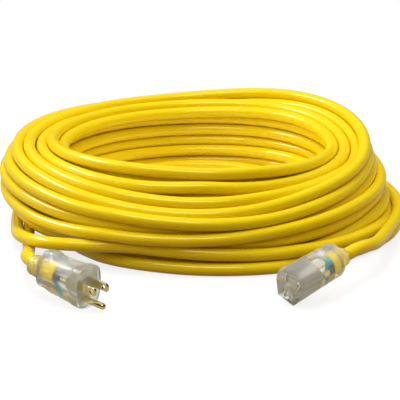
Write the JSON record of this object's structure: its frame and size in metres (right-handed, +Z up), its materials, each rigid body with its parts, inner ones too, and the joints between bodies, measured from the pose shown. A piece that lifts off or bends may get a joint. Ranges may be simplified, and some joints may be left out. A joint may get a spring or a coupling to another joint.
{
  "type": "extension cord",
  "caption": "Yellow heavy-duty outdoor extension cord in a coil, with a clear three-prong plug and a clear single connector.",
  "frame": {"origin": "on the floor, under the middle of the whole object", "axes": "+Z up from the floor; -Y towards the front, where the plug and the connector lie; +X to the right, towards the connector"},
  "size_m": [0.341, 0.4162, 0.0793],
  "materials": {
    "jacket": "glossy",
    "clear_vinyl": "clear, slightly frosted",
    "carrier": "satin",
    "brass": "polished",
    "black_insulation": "satin",
    "white_insulation": "satin",
    "green_insulation": "satin",
    "lamp_glass": "clear",
    "resistor_body": "matt",
    "tinned_wire": "bright"
  },
  "bodies": {
    "cord": {"cord_coil": "jacket", "cord_core": "jacket", "connector_tail": "jacket", "plug_tail": "jacket", "plug_body": "clear_vinyl", "plug_collar": "clear_vinyl", "plug_jacket_end": "jacket", "prong_carrier": "carrier", "hot_blade": "brass", "neutral_blade": "brass", "ground_pin": "brass", "plug_hot_crimp": "brass", "plug_neutral_crimp": "brass", "plug_ground_crimp": "brass", "plug_hot_wire": "black_insulation", "plug_neutral_wire": "white_insulation", "plug_ground_wire": "green_insulation", "connector_body": "clear_vinyl", "connector_collar": "clear_vinyl", "connector_jacket_end": "jacket", "contact_carrier": "carrier", "hot_contact": "brass", "neutral_contact": "brass", "ground_contact": "brass", "connector_hot_crimp": "brass", "connector_neutral_crimp": "brass", "connector_ground_crimp": "brass", "connector_hot_wire": "black_insulation", "connector_neutral_wire": "white_insulation", "connector_ground_wire": "green_insulation", "glow_lamp": "lamp_glass", "lamp_resistor": "resistor_body", "lamp_leads": "tinned_wire"},
    "hot_leaf_left_body": {"hot_leaf_left": "brass"},
    "hot_leaf_right_body": {"hot_leaf_right": "brass"},
    "neutral_leaf_left_body": {"neutral_leaf_left": "brass"},
    "neutral_leaf_right_body": {"neutral_leaf_right": "brass"},
    "ground_leaf_left_body": {"ground_leaf_left": "brass"},
    "ground_leaf_right_body": {"ground_leaf_right": "brass"}
  },
  "joints": [
    {"name": "hot_leaf_left_spring", "type": "hinge", "parent": "cord", "child": "hot_leaf_left_body", "pos_m": [0.07998, -0.18062, 0.01832], "axis": [0.1759, -0.3323, 0.9266], "range_deg": [0, 1], "stiffness_Nm_per_rad": 0.02},
    {"name": "hot_leaf_right_spring", "type": "hinge", "parent": "cord", "child": "hot_leaf_right_body", "pos_m": [0.07865, -0.17943, 0.01899], "axis": [-0.1759, 0.3323, -0.9266], "range_deg": [0, 1], "stiffness_Nm_per_rad": 0.02},
    {"name": "neutral_leaf_left_spring", "type": "hinge", "parent": "cord", "child": "neutral_leaf_left_body", "pos_m": [0.07113, -0.1727, 0.02283], "axis": [0.1759, -0.3323, 0.9266], "range_deg": [0, 1], "stiffness_Nm_per_rad": 0.02},
    {"name": "neutral_leaf_right_spring", "type": "hinge", "parent": "cord", "child": "neutral_leaf_right_body", "pos_m": [0.06981, -0.17152, 0.02351], "axis": [-0.1759, 0.3323, -0.9266], "range_deg": [0, 1], "stiffness_Nm_per_rad": 0.02},
    {"name": "ground_leaf_left_spring", "type": "hinge", "parent": "cord", "child": "ground_leaf_left_body", "pos_m": [0.07451, -0.17364, 0.00901], "axis": [0.1759, -0.3323, 0.9266], "range_deg": [0, 1.5], "stiffness_Nm_per_rad": 0.02},
    {"name": "ground_leaf_right_spring", "type": "hinge", "parent": "cord", "child": "ground_leaf_right_body", "pos_m": [0.07109, -0.17059, 0.01076], "axis": [-0.1759, 0.3323, -0.9266], "range_deg": [0, 1.5], "stiffness_Nm_per_rad": 0.02}
  ],
  "couplings": [
    {"joint": "hot_leaf_right_spring", "follows": "hot_leaf_left_spring", "ratio": 1},
    {"joint": "neutral_leaf_right_spring", "follows": "neutral_leaf_left_spring", "ratio": 1},
    {"joint": "ground_leaf_right_spring", "follows": "ground_leaf_left_spring", "ratio": 1}
  ]
}
